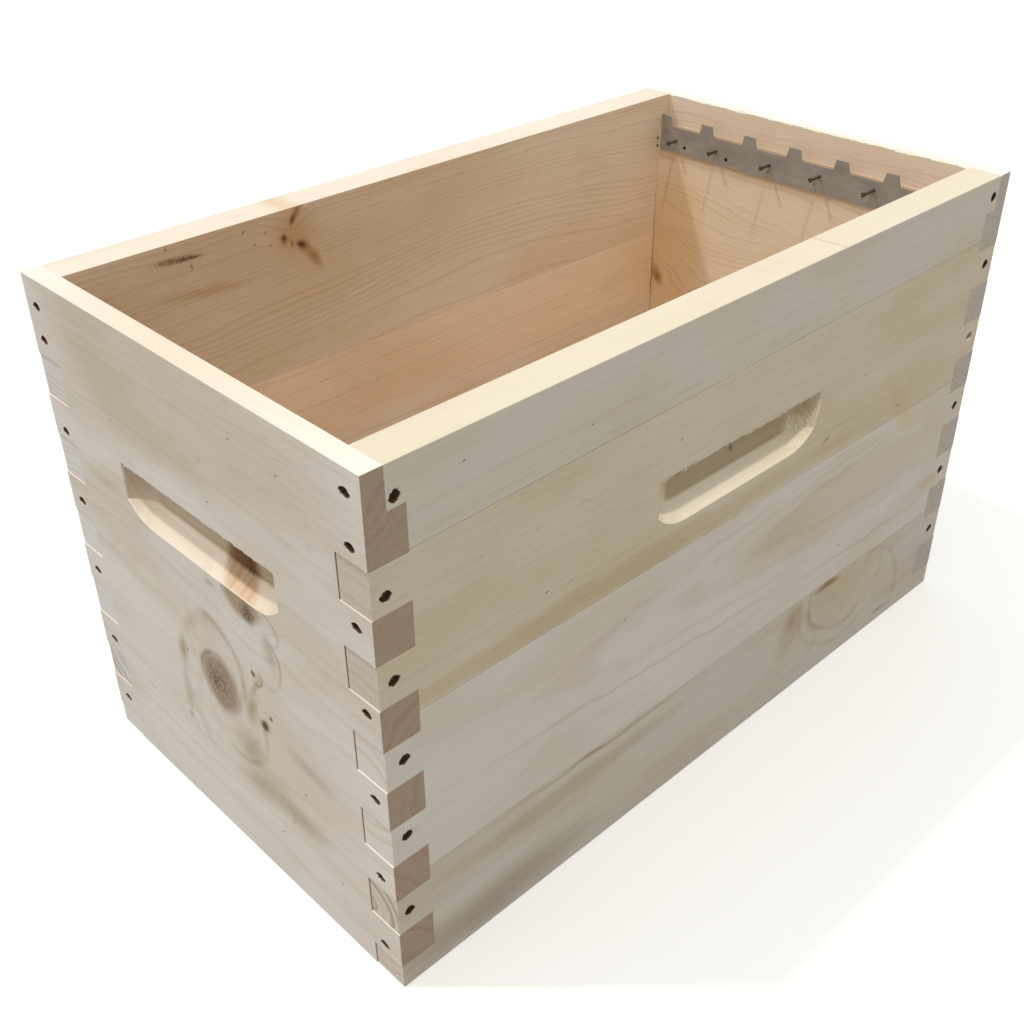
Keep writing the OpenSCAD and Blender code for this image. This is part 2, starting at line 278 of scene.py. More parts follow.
# %% Where the boards face
half_length = cad_high.x * 1000
half_width = cad_high.y * 1000
box_height = cad_high.z * 1000
wall = 22.0

BOARD_TURN = {"right": 0.0, "front": 90.0, "left": 180.0, "back": -90.0}
BOARD_FACE = {"right": half_width, "left": half_width, "front": half_length, "back": half_length}
INWARDS = {"right": ("Y", 1.0), "left": ("Y", -1.0), "front": ("X", 1.0), "back": ("X", -1.0)}
ALONG = {"right": "X", "left": "X", "front": "Y", "back": "Y"}
print("outer faces in mm:", BOARD_FACE)

# %% Places on a board
endless = 1000000.0


def on_board(tree, side):
    """Millimetre coordinates of a board: across as seen from outside, inwards, and up."""
    place = add(tree, "ShaderNodeTexCoord").outputs["Object"]
    turn = (0.0, 0.0, math.radians(BOARD_TURN[side]))
    return stretch(tree, place, (1000.0, 1000.0, 1000.0), turn=turn)


def spot(tree, board, at, size, turn=0.0):
    """Coordinates centred on a spot, in half sizes of it. at is across and below the rim."""
    sockets = {
        "Vector": board,
        "Location": (at[0], 0.0, box_height - at[1]),
        "Rotation": (0.0, math.radians(turn), 0.0),
        "Scale": (size[0], endless, size[1]),
    }
    return add(tree, "ShaderNodeMapping", sockets, vector_type="TEXTURE").outputs[0]


def vector_sum(tree, first, second, work="ADD"):
    """One step of arithmetic on vectors."""
    return add(tree, "ShaderNodeVectorMath", {0: first, 1: second}, operation=work).outputs[0]


def distance(tree, vector):
    """How far a vector reaches."""
    return add(tree, "ShaderNodeVectorMath", {0: vector}, operation="LENGTH").outputs["Value"]


def wandered(tree, board, scale, shift, reach, detail=2.0):
    """Board coordinates moved about by soft noise, by up to about a third of reach."""
    drift = grain_noise(tree, stretch(tree, board, scale, shift), detail).outputs["Color"]
    drift = vector_sum(tree, drift, (0.5, 0.5, 0.5), "SUBTRACT")
    drift = add(tree, "ShaderNodeVectorMath", {0: drift, "Scale": reach}, operation="SCALE")
    return vector_sum(tree, board, drift.outputs[0])


def tinted(tree, colour, share, tone):
    """Multiplies a share of a tone into a colour, as a stain does."""
    return mix(tree, share, colour, paint(tone), "MULTIPLY")


# %% [markdown]
# Knots, stains, the brown lines round a knot and patches of painted shade are all marks: soft ovals in a
# tone that is multiplied into the wood. A mark with a line width shows only along its rim, and one that
# points somewhere shows only on that side, so a few of them draw the smoky curves that flow round a knot.
# Their coordinates wander a little, because nothing in wood is a true oval. A mark can be kept to one zone
# of its board, such as the rim or the back of the handhold.

# %% Marks and their zones
def oval(tone, at, size, **manner):
    """A mark in one tone, with its place, its half sizes and the manner in which it shows."""
    return dict(manner, tone=tone, at=at, size=size)


def zones(tree, side, board):
    """How much a point belongs to each zone of a board, and how far it lies below the outer face."""
    normal = add(tree, "ShaderNodeNewGeometry").outputs["Normal"]
    facing = add(tree, "ShaderNodeSeparateXYZ", {0: normal}).outputs
    parts = add(tree, "ShaderNodeSeparateXYZ", {0: board}).outputs
    axis, sign = INWARDS[side]
    inset = calc(tree, "ADD", parts["Y"], BOARD_FACE[side])
    at_top = step(tree, parts["Z"], box_height - 9.0, box_height - 6.0)
    below_top = calc(tree, "SUBTRACT", 1.0, at_top)
    level = step(tree, facing["Z"], 0.7, 0.95)
    shallow = step(tree, inset, 14.0, 16.0, 1.0, 0.0)
    return {
        "inset": inset,
        "inside": step(tree, times(tree, facing[axis], sign), 0.6, 0.9),
        "end": step(tree, calc(tree, "ABSOLUTE", facing[ALONG[side]]), 0.6, 0.9),
        "rim": times(tree, level, at_top),
        "ledge": times(tree, level, times(tree, step(tree, inset, 11.5, 12.5), below_top)),
        "face": step(tree, inset, 0.05, 0.3, 1.0, 0.0),
        "cut": times(tree, shallow, step(tree, inset, 0.3, 1.0)),
        "mid": times(tree, shallow, step(tree, inset, 4.0, 6.5)),
        "deep": times(tree, shallow, step(tree, inset, 9.0, 10.8)),
    }


def mark_share(tree, places, mark):
    """How strongly a mark shows, from 0 to 1."""
    place = places["leaning" if mark.get("lean") else "bent"]
    own = spot(tree, place, mark["at"], mark["size"], mark.get("turn", 0.0))
    gone = distance(tree, own)
    if "line" in mark:
        gone = calc(tree, "ABSOLUTE", calc(tree, "SUBTRACT", gone, 1.0))
        share = times(tree, step(tree, gone, 0.0, mark["line"], 1.0, 0.0), places["patchy"])
    else:
        share = step(tree, gone, mark.get("soft", 0.0), 1.0, 1.0, 0.0)
    if "towards" in mark:
        aim = (mark["towards"][0], 0.0, mark["towards"][1])
        ahead = add(tree, "ShaderNodeVectorMath", {0: own, 1: aim}, operation="DOT_PRODUCT")
        share = times(tree, share, step(tree, ahead.outputs["Value"], -0.3, 0.7))
    for broken, low in (("rough", 0.40), ("streak", 0.42)):
        if broken in mark:
            left_out = 1.0 - mark[broken]
            share = times(tree, share, step(tree, places[broken], low, 0.62, left_out, 1.0))
    if "only" in mark:
        share = times(tree, share, places[mark["only"]])
    return share


print("a mark:", oval("cbbeb1", (0, 193.5), (22, 23.5), soft=0.6))

# %% [markdown]
# A year's ring starts pale and ends in a narrow dark band of late wood. So the distance to the heart is
# divided by the width of a ring, its fraction runs through a colour ramp that rises slowly and drops at
# once, and each year gets its own strength. The pine finish lays that band over the tone of the board,
# then slow changes of tone, fibres, flecks of resin canals, the marks, some of which are painted shade,
# the end grain and the dark of nail holes and joints, which is partly painted shade.

# %% Rings and the pine finish
def late_wood(tree, board, side, look):
    """How much late wood shows: rings are shells round the heart, pushed about by bulges."""
    seed = look["seed"]
    wood = wandered(tree, board, (0.006, 0.022, 0.022), (seed, 0.0, seed), look.get("wander", 18.0))
    heart_inset, heart_height = look["heart"]
    tilt_up, tilt_in = look.get("tilt", (0.0, 0.0))
    sockets = {
        "Vector": wood,
        "Location": (0.0, heart_inset - BOARD_FACE[side], heart_height),
        "Rotation": (0.0, math.radians(tilt_up), math.radians(tilt_in)),
        "Scale": (endless, 1.0, 1.0),
    }
    shell = distance(tree, add(tree, "ShaderNodeMapping", sockets, vector_type="TEXTURE").outputs[0])
    for at, size, push in look.get("bulges", ()):
        near = distance(tree, spot(tree, wood, at, size))
        shell = calc(tree, "ADD", shell, step(tree, near, 0.0, 2.2, push, 0.0))
    rings = calc(tree, "DIVIDE", shell, look["ring"])
    year = add(tree, "ShaderNodeTexWhiteNoise", {"W": calc(tree, "FLOOR", rings)}, noise_dimensions="1D")
    band = add(tree, "ShaderNodeValToRGB", {0: calc(tree, "FRACT", rings)})
    early, late = band.color_ramp.elements
    early.position = 0.25
    early.color = (0.0, 0.0, 0.0, 1.0)
    late.position = 0.90
    late.color = (1.0, 1.0, 1.0, 1.0)
    band.color_ramp.elements.new(1.0).color = (0.0, 0.0, 0.0, 1.0)
    return times(tree, band.outputs["Color"], step(tree, year.outputs["Value"], 0.0, 1.0, 0.1, 1.0))


def pine(name, side, look):
    """The finish of one board. look holds its tones, heart, rings, bulges and marks."""
    finish, tree, shader = new_finish(name)
    seed = look["seed"]
    board = on_board(tree, side)
    places = zones(tree, side, board)
    late = late_wood(tree, board, side, look)

    # Rings, slow changes of tone, fibres and the short dark flecks of resin canals
    fibre = grain(tree, board, (0.018, 1.1, 1.1), (seed, seed, 0.0), 3.0, 0.65)
    speck = grain(tree, board, (0.9, 0.9, 0.9), (seed, 0.0, 0.0), 3.0, 0.7)
    cloud = grain(tree, board, (0.008, 0.02, 0.02), (0.0, 0.0, seed), 3.0)
    fleck = grain(tree, board, (0.10, 1.3, 1.3), (0.0, seed, seed), 1.0)
    outer, inner = look["figure"]
    figure = times(tree, late, step(tree, places["inside"], 0.0, 1.0, outer, inner))
    colour = mix(tree, places["inside"], paint(look["light"]), paint(look["inside"]))
    colour = tinted(tree, colour, figure, "d2bf9f")
    colour = tinted(tree, colour, step(tree, cloud, 0.40, 0.66), look.get("cloud", "f8f4ed"))
    colour = tinted(tree, colour, step(tree, fleck, 0.70, 0.76, 0.0, 0.5), "d9cbb4")
    colour = mix(tree, times(tree, places["rim"], 0.7), colour, paint(look["rim"]))
    colour = mix(tree, 1.0, colour, step(tree, fibre, 0.25, 0.75, 0.958, 1.022), "MULTIPLY")

    # Marks, and small dark ticks
    patchy = grain(tree, board, (0.05, 0.05, 0.05), (seed, seed, seed), 1.0)
    slide = times(tree, places["inset"], look.get("lean", 0.0))
    slide = add(tree, "ShaderNodeCombineXYZ", {0: slide}).outputs[0]
    places["bent"] = wandered(tree, board, (0.03, 0.03, 0.03), (seed, seed, 0.0), 10.0, 1.4)
    places["leaning"] = vector_sum(tree, board, slide)
    places["patchy"] = step(tree, patchy, 0.36, 0.60, 0.35, 1.0)
    places["rough"] = speck
    places["streak"] = grain(tree, board, (0.8, 0.05, 0.05), (seed, 0.0, 0.0))
    ticks = [oval("b4a58f", at, (1.5, 0.7), soft=0.3, turn=-12) for at in look.get("ticks", ())]
    for mark in list(look.get("marks", ())) + ticks:
        colour = tinted(tree, colour, mark_share(tree, places, mark), mark["tone"])

    # End grain has a tone of its own, with the rings as faint arcs and fine specks
    end_figure = times(tree, late, look.get("end_figure", 0.4))
    end_tone = tinted(tree, paint(look["end"]), end_figure, "d8cab8")
    end_tone = mix(tree, 1.0, end_tone, step(tree, speck, 0.25, 0.75, 0.90, 1.08), "MULTIPLY")
    for mark in look.get("end_marks", ()):
        share = times(tree, mark_share(tree, places, mark), late)
        end_tone = tinted(tree, end_tone, share, mark["tone"])
    colour = mix(tree, places["end"], colour, end_tone)

    # Nail holes, joints and the valleys of the torn end are darker: the steel's stain, dark joints and
    # painted shade
    stain_and_shade = add(tree, "ShaderNodeAttribute", attribute_name="stain_and_shade").outputs["Fac"]
    colour = tinted(tree, colour, stain_and_shade, look.get("hole", "64533f"))

    relief = calc(tree, "ADD", times(tree, late, -0.5), times(tree, fibre, 0.9))
    bump = add(tree, "ShaderNodeBump", {"Strength": 0.14, "Distance": 0.0004, "Height": relief})
    fill(tree, shader, {
        "Base Color": colour,
        "Roughness": step(tree, fibre, 0.2, 0.8, 0.66, 0.86),
        "Specular IOR Level": 0.18,
        "Normal": bump.outputs[0],
    })
    return finish


# %% [markdown]
# ## Ten boards, ten figures
#
# Each board has its own entry of tones, rings and marks, written as it would be measured on the board: a
# place is millimetres across from the middle and down from the rim, and a size is half widths. They could
# be drawn at random, but then no board would be the one in the photograph. What several boards share, such
# as the shaded back of a handhold, is written once.

# %% What the boards share
FIGURES = {}
right_side = dict(side="right", inside="f5dfc2", rim="ded2ba")
left_side = dict(side="left", rim="e4d7c7")


def painted_handhold_shade(tone):
    """Painted shade on the back wall of a handhold."""
    return oval(tone, (0, 96), (130, 26), soft=0.5, only="deep")


def corner_dirt(across):
    """The line of dirt in an upright inner corner."""
    return oval("b8a27e", (across, 205), (0.8, 165), soft=0.3, only="inside", lean=True)


# Painted shade on the ledge under the lip of an end board
painted_ledge_shade = oval("b5a088", (0, 22), (400, 40), soft=0.9, only="ledge")
print("shared by the right staves:", right_side)

# %% [markdown]
# The front end is one wide plank with two big knots, the lower one whole, the upper one cut by the
# handhold, and smoky bands between them. The back end is seen mostly from inside, behind its strip.

# %% End boards
FIGURES["front_end_board"] = dict(
    side="front", seed=1.7, light="f2ebe2", inside="f6e2c9", end="b7a08a", cloud="f4f0e9", rim="f0e6d8",
    hole="77664f", figure=(0.17, 0.4), lean=0.87,
    heart=(75, 118), ring=6, tilt=(1.5, 1), wander=30,
    bulges=(((-1.3, 194), (22, 25), 26), ((36, 118), (18, 20), 18)),
    ticks=(
        (-69, 60), (17.5, 69), (46, 24), (81, 27), (42, 274), (95, 272), (72.5, 224),
    ),
    marks=(
        # The whole knot, its darker edge and its cracked middle
        oval("cbbeb1", (0, 193.5), (22, 23.5), soft=0.6, turn=5),
        oval("d6ccc0", (0, 193.5), (18, 20.5), line=0.16, towards=(-0.8, 0.5), turn=5),
        oval("cfc4b9", (0, 193.5), (19, 21.5), soft=0.5, rough=1),
        oval("998879", (-3, 192), (13, 9.5), rough=0.8),
        # Smoky bands that flow round it
        oval("f0ebe3", (-2, 205), (38, 52), line=0.16, towards=(-0.9, 0.3)),
        oval("e0d9ce", (-2, 180), (25, 31), line=0.17, towards=(0.8, 0.6)),
        oval("ebe6de", (9, 208), (31, 30), line=0.11, towards=(0.7, -0.7)),
        oval("d6ccba", (29, 193), (8, 19), turn=10),
        oval("e0d9cd", (22, 226), (24, 17), turn=-35),
        oval("e2dace", (36, 172), (3.6, 18), turn=40),
        oval("ddd4c5", (-37, 192), (7, 17), turn=4),
        oval("e8e2d6", (-41, 226), (5.5, 22), turn=2),
        oval("ddd5c8", (-42.5, 242), (3, 5.5)),
        oval("ae9d88", (-32, 188), (1.6, 2.6)),
        oval("e3dcd1", (30, 248), (40, 19), turn=-20),
        # The knot that the handhold cuts, on the face below it
        oval("c9b9a9", (34, 118.5), (19.5, 15.5), soft=0.5, only="face"),
        oval("98877a", (37.5, 124.5), (8, 10.5), soft=0.2, rough=0.6, only="face"),
        oval("ded6ca", (6, 123.5), (7, 2.6), only="face"),
        oval("e4ddd3", (55, 142), (8.5, 17), turn=-18),
        oval("dcd5cb", (52, 127), (13, 11), line=0.16, towards=(1, 0.35)),
        oval("d6cec4", (50, 150), (14.5, 15), line=0.13, towards=(1, 0)),
        # The same knot inside the cut: peach in the light, dark and streaked at the back
        oval("f7e9dc", (34, 109), (17.5, 21), soft=0.6, only="cut", lean=True),
        oval("f1e7dd", (34, 109), (17.5, 21), soft=0.5, streak=1, only="cut", lean=True),
        oval("d8cfc4", (34, 109), (17, 21), soft=0.5, only="mid", lean=True),
        oval("c2bab0", (35, 109), (19, 21), soft=0.3, only="deep", lean=True),
        oval("c0b8ae", (41, 109), (11, 21), soft=0.2, streak=0.7, only="deep", lean=True),
        # The warm floor of the cut, and painted shade on its back wall and on its left end
        oval("fffaf2", (0, 104), (90, 30), soft=0.7, only="cut"),
        painted_handhold_shade("e9e0d3"),
        oval("e4d8c9", (-66, 92), (24, 26), soft=0.2, only="cut"),
        painted_ledge_shade,
        # Small knots
        oval("e2d8ca", (42, 198.2), (8, 7.5), soft=0.3),
        oval("8b7b6c", (41.6, 198.2), (4.3, 5.2), soft=0.4),
        oval("a59684", (49, 188.6), (2.5, 2.7), soft=0.35),
        oval("d0c7ba", (37, 165), (6.5, 6), line=0.22, towards=(0.8, -0.6)),
        oval("968a7c", (35.8, 164.7), (3, 3), soft=0.35),
        # Olive and beige smears
        oval("e8e2d8", (77.5, 205), (28, 7.5), turn=6),
        oval("e0d9ce", (66, 249), (34, 15), turn=-6),
        oval("e0d9ce", (46.7, 252.5), (9.5, 8.5), line=0.24, towards=(1, 0.2)),
        oval("f0ebe0", (-95, 106), (32, 6.5)),
        oval("f1ece3", (0, 28), (170, 50), soft=0.45),
    ),
)
FIGURES["back_end_board"] = dict(
    side="back", seed=5.3, light="efe7da", inside="fcebd8", end="cdc3b6", rim="f6f2ea", figure=(0.25, 0.30),
    heart=(160, 60), ring=2.4, tilt=(-3, 2), wander=34,
    bulges=(((60, 150), (40, 30), 14),),
    ticks=((-30, 40), (66, 130), (-80, 210), (20, 260)),
    marks=(
        oval("cdbca6", (-38, 216), (9, 7.5), soft=0.7, turn=-8),
        oval("a8957f", (-38, 216), (4, 3), rough=0.8),
        oval("e4dacb", (-36, 214), (17, 13), line=0.2),
        oval("f0e9dc", (58, 170), (60, 12), turn=5),
        oval("f2ece1", (-70, 60), (50, 9), turn=-4),
        painted_ledge_shade,
        oval("fbf6ee", (0, 170), (400, 150), soft=0.95, only="inside"),
        # Painted shade behind two punched holes of the strip, and the dirty inner corner
        oval("2e251d", (95, 32.6), (2.4, 2.4), soft=0.6, only="inside", lean=True),
        oval("2e251d", (57, 32.6), (2.4, 2.4), soft=0.6, only="inside", lean=True),
        corner_dirt(120.5),
        oval("bd9c72", (116.5, 137), (7, 11), only="inside", turn=20),
        # Warmer painted shade where the left rim's shadow falls
        oval("fbeed6", (104, 120), (42, 95), soft=0.4, only="inside"),
        # Painted shade on the back wall of the handhold
        painted_handhold_shade("ece3d6"),
    ),
)
print("end boards:", len(FIGURES))

# %% [markdown]
# The right side has a plain top stave in two lengths, a straight-grained upper stave, an arched lower one
# and a bottom stave with a swirl where a knot just failed to surface.

# %% Right side
FIGURES["right_top_stave_front"] = dict(
    right_side, seed=2.1, light="e2dacb", end="e8dfd2", figure=(0.13, 0.4),
    heart=(55, 215), ring=4.6, tilt=(-1.6, 1), wander=8, ticks=((-200, 15.4), (-120, 30)),
)
FIGURES["right_top_stave_back"] = dict(
    right_side, seed=3.9, light="e2dacb", end="e8dfd2", figure=(0.10, 0.4),
    heart=(45, 190), ring=5, tilt=(0.8, -0.6), wander=8,
    marks=(oval("a89a86", (75.3, 0), (0.9, 12), rough=1, only="rim"),),
)
FIGURES["right_upper_stave"] = dict(
    right_side, seed=7.7, light="f9eed6", end="dfd3c3", figure=(0.15, 0.4),
    heart=(25, 40), ring=6.2, tilt=(0.6, 0), wander=9,
    ticks=((-55, 64), (120, 92), (-150, 110)),
    marks=(
        oval("eae8e6", (0, 90), (900, 160), soft=0.9, only="face"),
        oval("f4eee4", (-90, 128), (290, 9.5), soft=0.4, only="face"),
        oval("d8ccb9", (84.5, 120.5), (5.5, 2.2), turn=-20),
        oval("fdf6e6", (166, 128), (28, 13), turn=42, soft=0.2),
        oval("c2ad8c", (163, 129), (2.6, 1.2), turn=25),
        oval("cbb899", (168, 131), (2, 1), turn=25),
        oval("a8947b", (5.5, 98.5), (2.2, 4), turn=-18, only="cut"),
        # Painted shade on the back wall of the handhold
        painted_handhold_shade("c9c0b2"),
        oval("dccdb9", (63, 92), (16, 17), soft=0.1, only="cut"),
        # Painted shade on the left end of the handhold
        oval("ecdfcf", (-66, 92), (22, 24), soft=0.2, only="cut"),
    ),
)
FIGURES["right_lower_stave"] = dict(
    right_side, seed=11.2, light="ebe4d9", end="f2eade", figure=(0.07, 0.4),
    heart=(32, 132), ring=8, tilt=(0, 3.5), wander=5,
    marks=(
        oval("f5f0e6", (120, 174), (170, 34), soft=0.35),
        oval("faf7f1", (250, 175), (381, 35), line=0.06, towards=(-1, 0)),
        oval("f9f5ef", (250, 172), (290, 28), line=0.08, towards=(-1, 0)),
        oval("f8f4ed", (250, 170), (220, 20), line=0.10, towards=(-1, 0)),
        oval("f4efe6", (-60, 207), (230, 1.6), turn=4.6, soft=0.2),
        oval("f2ece2", (140, 223), (110, 1.4), turn=1, soft=0.2),
        oval("fcf4e0", (175, 142), (24, 11), turn=38, soft=0.2),
        oval("f9f1de", (226, 213), (22, 9), soft=0.2),
        oval("c9b899", (246, 222), (7, 2.2)),
    ),
    ticks=((118, 214), (-90, 160)),
)
FIGURES["right_bottom_stave"] = dict(
    right_side, seed=4.4, light="dfd6c7", end="e5dbcd", figure=(0.14, 0.4),
    end_marks=(oval("d2c6b5", (-254, 262), (20, 18), soft=0.6),),
    heart=(30, 45), ring=6.5, tilt=(0.5, 1.5), wander=16,
    bulges=(((134, 258), (34, 26), 24),),
    marks=(
        oval("fcf7ec", (136, 250), (45, 40), soft=0.6),
        oval("efe9e1", (136, 250), (43, 38.5), line=0.08, towards=(-0.8, -0.6)),
        oval("f6f2ec", (136, 250), (43, 38.5), line=0.10),
        oval("f1ebe4", (136, 246), (54, 54), line=0.06, towards=(-0.8, -0.6)),
        oval("f6f2ec", (155, 285), (50, 46), line=0.06, towards=(1, 0.5)),
        oval("c0ab90", (113, 243.5), (20, 4.5), soft=0.2),
        oval("ebe0d5", (73, 250), (11, 15), turn=20),
        oval("f3ece4", (74, 262), (17, 26), turn=28, soft=0.3),
        oval("efe9dc", (-130, 255), (130, 10), soft=0.3),
        oval("e6dccb", (-100, 241.5), (120, 2.2)),
        oval("d4c7b2", (-114, 240.5), (16, 1.6)),
        # Painted shade along the lower edge, near the floor
        oval("ddd8d1", (-190, 297), (120, 22), soft=0.1),
        oval("cfc8bb", (187, 302.5), (12, 2.8)),
    ),
)
print("boards so far:", len(FIGURES))

# %% [markdown]
# The left side is seen from inside: three small knots with brown tails and a streak of resin lie under
# its rim. Its outer face has a figure of the same kind.

# %% Left side
FIGURES["left_top_stave"] = dict(
    left_side, seed=8.8, light="ede5d7", inside="f0dbc1", end="ece6e0", figure=(0.3, 0.32),
    heart=(20, -40), ring=3.7, wander=20,
    bulges=(((-58, 70), (120, 45), -16), ((100, 18), (12, 12), 9)),
    marks=(
        oval("f2ebe3", (190, 40), (330, 90), soft=0.3, only="inside"),
        # Three small knots with brown tails
        oval("ecdac2", (97, 16), (24, 20)),
        oval("c9b08d", (104.3, 17.6), (4.8, 6)),
        oval("a5875f", (104, 16.8), (2.2, 3.4)),
        oval("bd9f78", (92.5, 25), (7, 5), turn=-40),
        oval("a8895f", (93.5, 24.6), (4.4, 3), turn=-40),
        oval("d8c2a2", (99.3, 22), (2, 5)),
        oval("d2b791", (86, 34), (5.6, 15), turn=38),
        oval("cbb08c", (93.5, 3), (4.6, 11), turn=-36, only="inside"),
        oval("a98b63", (96.6, 7.6), (2.6, 5), turn=-30, only="inside"),
        oval("f8eede", (98, 0), (12, 9), only="rim"),
        # The streak of resin, and specks beside it
        oval("9c8775", (175.5, 10.3), (21.5, 2.8), turn=-4, soft=0.3, rough=0.6, only="inside", lean=True),
        oval("b39f90", (168, 11), (11, 1.4), turn=-4, only="inside", lean=True),
        oval("c9b299", (166.6, 15.5), (1.4, 2.6), turn=20, only="inside"),
        oval("8f7c68", (181, 3.2), (1.1, 1.1), only="inside"),
        oval("c6af91", (133, 5.6), (0.9, 2), only="inside"),
        oval("c6af91", (117.5, 10), (1.1, 1.8), only="inside"),
        oval("bea586", (126, 14.5), (1.3, 1), only="inside"),
        oval("bea586", (115, 18), (1.3, 1), only="inside"),
        oval("eadfd0", (160, 32), (48, 6), turn=-6, only="inside"),
        corner_dirt(-231.6),
        # Two spots of painted shadow in the gap by the end of the back strip
        oval("4f3f2e", (-230.6, 30.5), (1.4, 2), soft=0.3, only="inside", lean=True),
        oval("4f3f2e", (-230.6, 36), (1.4, 2), soft=0.3, only="inside", lean=True),
        # Painted shade on the back wall of the handhold
        painted_handhold_shade("e3d9c9"),
    ),
)
FIGURES["left_middle_stave"] = dict(
    left_side, seed=6.1, light="eae1d1", inside="fadec0", end="f0ebe6", figure=(0.3, 0.26),
    heart=(30, -20), ring=4, tilt=(0.6, 0),
    marks=(
        # Painted shade on the back wall of the handhold
        painted_handhold_shade("e3d9c9"),
        corner_dirt(-231.6),
    ),
)
FIGURES["left_bottom_stave"] = dict(
    left_side, seed=9.5, light="ece4d6", inside="f6dfc6", end="f0ebe6", figure=(0.25, 0.3),
    heart=(40, 80), ring=3.6, tilt=(0, 2), end_figure=0.15,
    end_marks=(oval("8f8478", (254, 262), (20, 16), soft=0.6),),
    marks=(
        oval("d6c8b6", (-120, 236), (15, 12), soft=0.65, turn=6),
        oval("ab9985", (-122, 236), (6, 4), rough=0.8),
        oval("e6ddd0", (-120, 236), (24, 18), line=0.2),
        oval("efe9dd", (-40, 262), (90, 9)),
    ),
)
print("boards:", len(FIGURES))

# %% A finish for each board
finishes = {}
for name, look in FIGURES.items():
    finishes[name] = pine(name.replace("_", " ") + " pine", look["side"], look)
print("pine finishes:", len(finishes))

# %% [markdown]
# ## Boards with eased edges
#
# A planed board never keeps a razor edge: a few strokes of handling round it by a few tenths of a
# millimetre, and at the joints the two rounded edges leave the thin dark line that shows where one
# piece ends. The CAD board is left as it is. A copy of it is merged into one skin, its flat triangles
# are joined into whole faces, and its straight edges are bevelled with the bevel operator. The curved
# rims of its holes and of its handhold are roughened by the steps that follow instead.

# %% Copy a CAD board
mm = 0.001


def merged_copy(node_name):
    """A bmesh copy of a CAD node: one skin, with flat triangles joined into faces."""
    shape = bmesh.new()
    shape.from_mesh(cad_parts[node_name].data)
    bmesh.ops.remove_doubles(shape, verts=shape.verts, dist=0.000002)
    bmesh.ops.dissolve_limit(
        shape, angle_limit=math.radians(0.5), use_dissolve_boundaries=False,
        verts=shape.verts, edges=shape.edges,
    )
    return shape


def cut_faces(shape, faces, place, normal):
    """Cuts some faces of a bmesh with a plane through a place."""
    shape.verts.index_update()
    shape.edges.index_update()
    edges = sorted({e for f in faces for e in f.edges}, key=lambda e: e.index)
    verts = sorted({v for f in faces for v in f.verts}, key=lambda v: v.index)
    geom = faces + edges + verts
    bmesh.ops.bisect_plane(shape, geom=geom, dist=0.000001, plane_co=place, plane_no=normal)


def finish_piece(shape, name, finish, stands_for=()):
    """Turns a bmesh into a named piece that rides on the box."""
    mesh = bpy.data.meshes.new(name)
    shape.to_mesh(mesh)
    shape.free()
    mesh.materials.append(finish)
    mesh.shade_smooth()
    mesh.set_sharp_from_angle(angle=math.radians(18))
    made = bpy.data.objects.new(name, mesh)
    bpy.context.scene.collection.objects.link(made)
    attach(made, "root")
    if stands_for:
        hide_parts(*stands_for)
    return made


# %% [markdown]
# ## Torn nail holes
#
# A nail driven below the surface drags the fibres down with it and tears the rim of its hole, more along
# the grain than across it, and the hole is left dark. The holes of the CAD boards are clean and round,
# so in the copy each point of a rim is pushed outwards by an uneven amount, once the straight edges are
# eased. The heads are found in the nail nodes themselves, so the tears stay round the nails wherever
# these sit.

# %% Find the nail heads
UP = Vector((0.0, 0.0, 1.0))
OUTWARD = {
    "right": Vector((0.0, -1.0, 0.0)), "left": Vector((0.0, 1.0, 0.0)),
    "front": Vector((-1.0, 0.0, 0.0)), "back": Vector((1.0, 0.0, 0.0)),
}
head_height = 2.5


def solids_of(shape):
    """The separate solids of a bmesh, each as a list of vertices."""
    met = set()
    groups = []
    for start in shape.verts:
        if start in met:
            continue
        met.add(start)
        group = [start]
        for vert in group:
            for edge in vert.link_edges:
                other = edge.other_vert(vert)
                if other not in met:
                    met.add(other)
                    group.append(other)
        groups.append(group)
    return groups


def corner_nail_heads():
    """The board face and the place of every corner nail's head."""
    heads = []
    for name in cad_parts:
        if not name.endswith(("end_nails", "side_nails")):
            continue
        end, side = name.split("_")[:2]
        face = end if name.endswith("end_nails") else side
        shape = merged_copy(name)
        for verts in solids_of(shape):
            reach = max(v.co.dot(OUTWARD[face]) for v in verts)
            head = [v.co for v in verts if v.co.dot(OUTWARD[face]) > reach - head_height * mm]
            heads.append((face, sum(head, Vector()) / len(head)))
        shape.free()
    return heads


nail_heads = corner_nail_heads()
print("corner nails:", len(nail_heads))

# %% Tear the rims of the holes
rim_reach = 3.4
fewest_rim_points = 6
nail_line = 230.0
wild_tear = 1.5
furthest_tear = 1.7


def on_face(side, point):
    """A point as millimetres across, below the rim and inwards, seen from outside the board."""
    out = OUTWARD[side]
    return point.dot(UP.cross(out)) / mm, box_height - point.z / mm, BOARD_FACE[side] - point.dot(out) / mm


def lies_flush(side, vert, within):
    """Whether a point lies in the outer face of its board, within some millimetres."""
    return abs(on_face(side, vert.co)[2]) < within


def holes_in(shape, side):
    """The rims of the nail holes in a board's face, each with its middle."""
    skin = [v for v in shape.verts if lies_flush(side, v, 0.02)]
    rims = []
    for face, head in nail_heads:
        if face != side:
            continue
        flat = head + OUTWARD[side] * (BOARD_FACE[side] * mm - head.dot(OUTWARD[side]))
        rim = [v for v in skin if (v.co - flat).length < rim_reach * mm]
        if len(rim) >= fewest_rim_points:
            rims.append((rim, sum((v.co for v in rim), Vector()) / len(rim)))
    return rims


